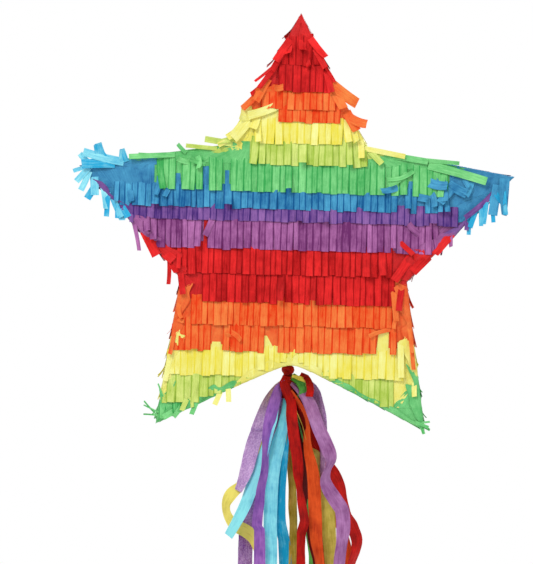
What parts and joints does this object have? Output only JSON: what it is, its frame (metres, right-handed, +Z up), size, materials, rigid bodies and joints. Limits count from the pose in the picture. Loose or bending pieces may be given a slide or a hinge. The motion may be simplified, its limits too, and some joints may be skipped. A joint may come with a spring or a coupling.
{
  "type": "pinata",
  "caption": "Star-shaped hanging pinata in rainbow rows of fringed tissue, with a fill flap in the back, a trap door in the bottom notch and a tassel of streamers.",
  "frame": {"origin": "midway between the two string holes in the top point, on the line that the hanging cord carries the load along", "axes": "+Z up, the fringed front faces -Y, +X to the right of someone facing the front"},
  "size_m": [0.4196, 0.0784, 0.6454],
  "materials": {
    "cardboard": "raw kraft corrugated board",
    "paper_tape": "gummed paper tape",
    "ribbon_knot": "twisted tissue ribbon",
    "tissue_red": "matt fringed tissue paper",
    "tissue_orange": "matt fringed tissue paper",
    "tissue_yellow": "matt fringed tissue paper",
    "tissue_lime": "matt fringed tissue paper",
    "tissue_green": "matt fringed tissue paper",
    "tissue_blue": "matt fringed tissue paper",
    "tissue_violet": "matt fringed tissue paper",
    "tissue_purple": "matt fringed tissue paper",
    "streamer_cyan": "soft tissue streamer",
    "streamer_purple": "soft tissue streamer",
    "streamer_red": "soft tissue streamer",
    "streamer_orange": "soft tissue streamer",
    "streamer_yellow": "soft tissue streamer",
    "streamer_green": "soft tissue streamer"
  },
  "bodies": {
    "shell": {"front_panel": "cardboard", "back_panel": "cardboard", "wall_top_right": "cardboard", "wall_right_arm_upper": "cardboard", "wall_right_arm_lower": "cardboard", "wall_right_leg_outer": "cardboard", "wall_right_leg_inner": "cardboard", "wall_left_leg_inner": "cardboard", "wall_left_leg_outer": "cardboard", "wall_left_arm_lower": "cardboard", "wall_left_arm_upper": "cardboard", "wall_top_left": "cardboard", "corner_tapes": "paper_tape", "hanging_patches": "cardboard", "tissue_row_01_red": "tissue_red", "tissue_row_02_red": "tissue_red", "tissue_row_03_orange": "tissue_orange", "tissue_row_04_orange": "tissue_orange", "tissue_row_05_yellow": "tissue_yellow", "tissue_row_06_lime": "tissue_lime", "tissue_row_07_green": "tissue_green", "tissue_row_08_blue": "tissue_blue", "tissue_row_09_violet": "tissue_violet", "tissue_row_10_purple": "tissue_purple", "tissue_row_11_red": "tissue_red", "tissue_row_12_red": "tissue_red", "tissue_row_13_orange": "tissue_orange", "tissue_row_14_orange": "tissue_orange", "tissue_row_15_yellow": "tissue_yellow", "tissue_row_16_lime": "tissue_lime", "tissue_row_17_green": "tissue_green"},
    "fill_flap": {"fill_flap": "cardboard", "fill_flap_tissue": "tissue_purple"},
    "trap_door": {"trap_door": "cardboard", "trap_door_tissue": "tissue_yellow", "pull_ribbon": "ribbon_knot"},
    "tassel_knot": {"tassel_knot": "ribbon_knot"},
    "tassel": {"tassel_collar": "streamer_red", "streamer_01_cyan": "streamer_cyan", "streamer_02_purple": "streamer_purple", "streamer_03_cyan": "streamer_cyan", "streamer_04_red": "streamer_red", "streamer_05_orange": "streamer_orange", "streamer_06_purple": "streamer_purple", "streamer_07_purple": "streamer_purple", "streamer_08_purple": "streamer_purple", "streamer_09_cyan": "streamer_cyan", "streamer_10_yellow": "streamer_yellow", "streamer_11_green": "streamer_green", "streamer_12_yellow": "streamer_yellow", "streamer_13_yellow": "streamer_yellow", "streamer_14_cyan": "streamer_cyan", "streamer_15_red": "streamer_red", "streamer_16_purple": "streamer_purple", "streamer_17_orange": "streamer_orange", "streamer_18_red": "streamer_red"}
  },
  "joints": [
    {"name": "fill_flap_hinge", "type": "hinge", "parent": "shell", "child": "fill_flap", "pos_m": [0, 0.0392, -0.13993], "axis": [1, 0, 0], "range_deg": [0, 120]},
    {"name": "trap_door_hinge", "type": "hinge", "parent": "shell", "child": "trap_door", "pos_m": [-0.04698, 0, -0.32546], "axis": [0, 1, 0], "range_deg": [0, 100]},
    {"name": "tassel_hang", "type": "hinge", "parent": "trap_door", "child": "tassel_knot", "pos_m": [-0.00309, 0, -0.31269], "axis": [0, 1, 0], "range_deg": [-100, 0]},
    {"name": "tassel_swing", "type": "hinge", "parent": "tassel_knot", "child": "tassel", "pos_m": [-0.00309, 0, -0.31269], "axis": [1, 0, 0], "range_deg": [-30, 30]}
  ],
  "couplings": [
    {"joint": "tassel_hang", "follows": "trap_door_hinge", "ratio": -1}
  ]
}
